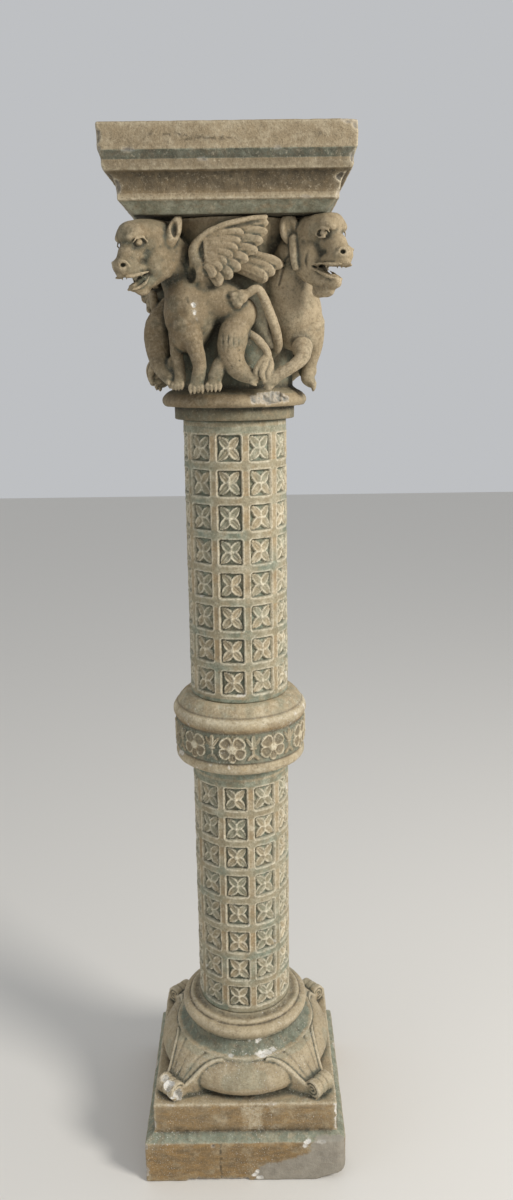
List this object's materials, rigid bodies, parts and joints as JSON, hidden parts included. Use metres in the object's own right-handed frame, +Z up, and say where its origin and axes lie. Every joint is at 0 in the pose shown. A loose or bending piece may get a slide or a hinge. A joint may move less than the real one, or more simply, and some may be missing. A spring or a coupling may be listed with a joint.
{
  "type": "stucco column",
  "caption": "Free-standing painted stucco column: stepped plinth with clawed base, coffered round shaft with a mid ring, capital of winged beasts and a square moulded abacus.",
  "frame": {"origin": "centre of the plinth's underside", "axes": "+Z up the column's axis, the plinth's and abacus's sides along X and Y, the pictured front facing -Y"},
  "size_m": [0.317, 0.317, 1.5407],
  "materials": {
    "base_stucco": "worn ochre-brown paint on stucco, matt",
    "lower_drum_stucco": "beige paint on stucco with grey-green in the hollows, matt",
    "ring_stucco": "beige paint on stucco with grey-green in the hollows, matt",
    "upper_drum_stucco": "beige paint on stucco with grey-green in the hollows, matt",
    "capital_stucco": "beige paint on stucco with grey-green in the hollows, matt",
    "abacus_stucco": "beige paint on stucco with grey-green bands, matt"
  },
  "bodies": {
    "root": {"plinth_and_base": "base_stucco", "lower_drum": "lower_drum_stucco", "ring": "ring_stucco", "upper_drum": "upper_drum_stucco", "capital": "capital_stucco", "abacus": "abacus_stucco"}
  },
  "joints": []
}
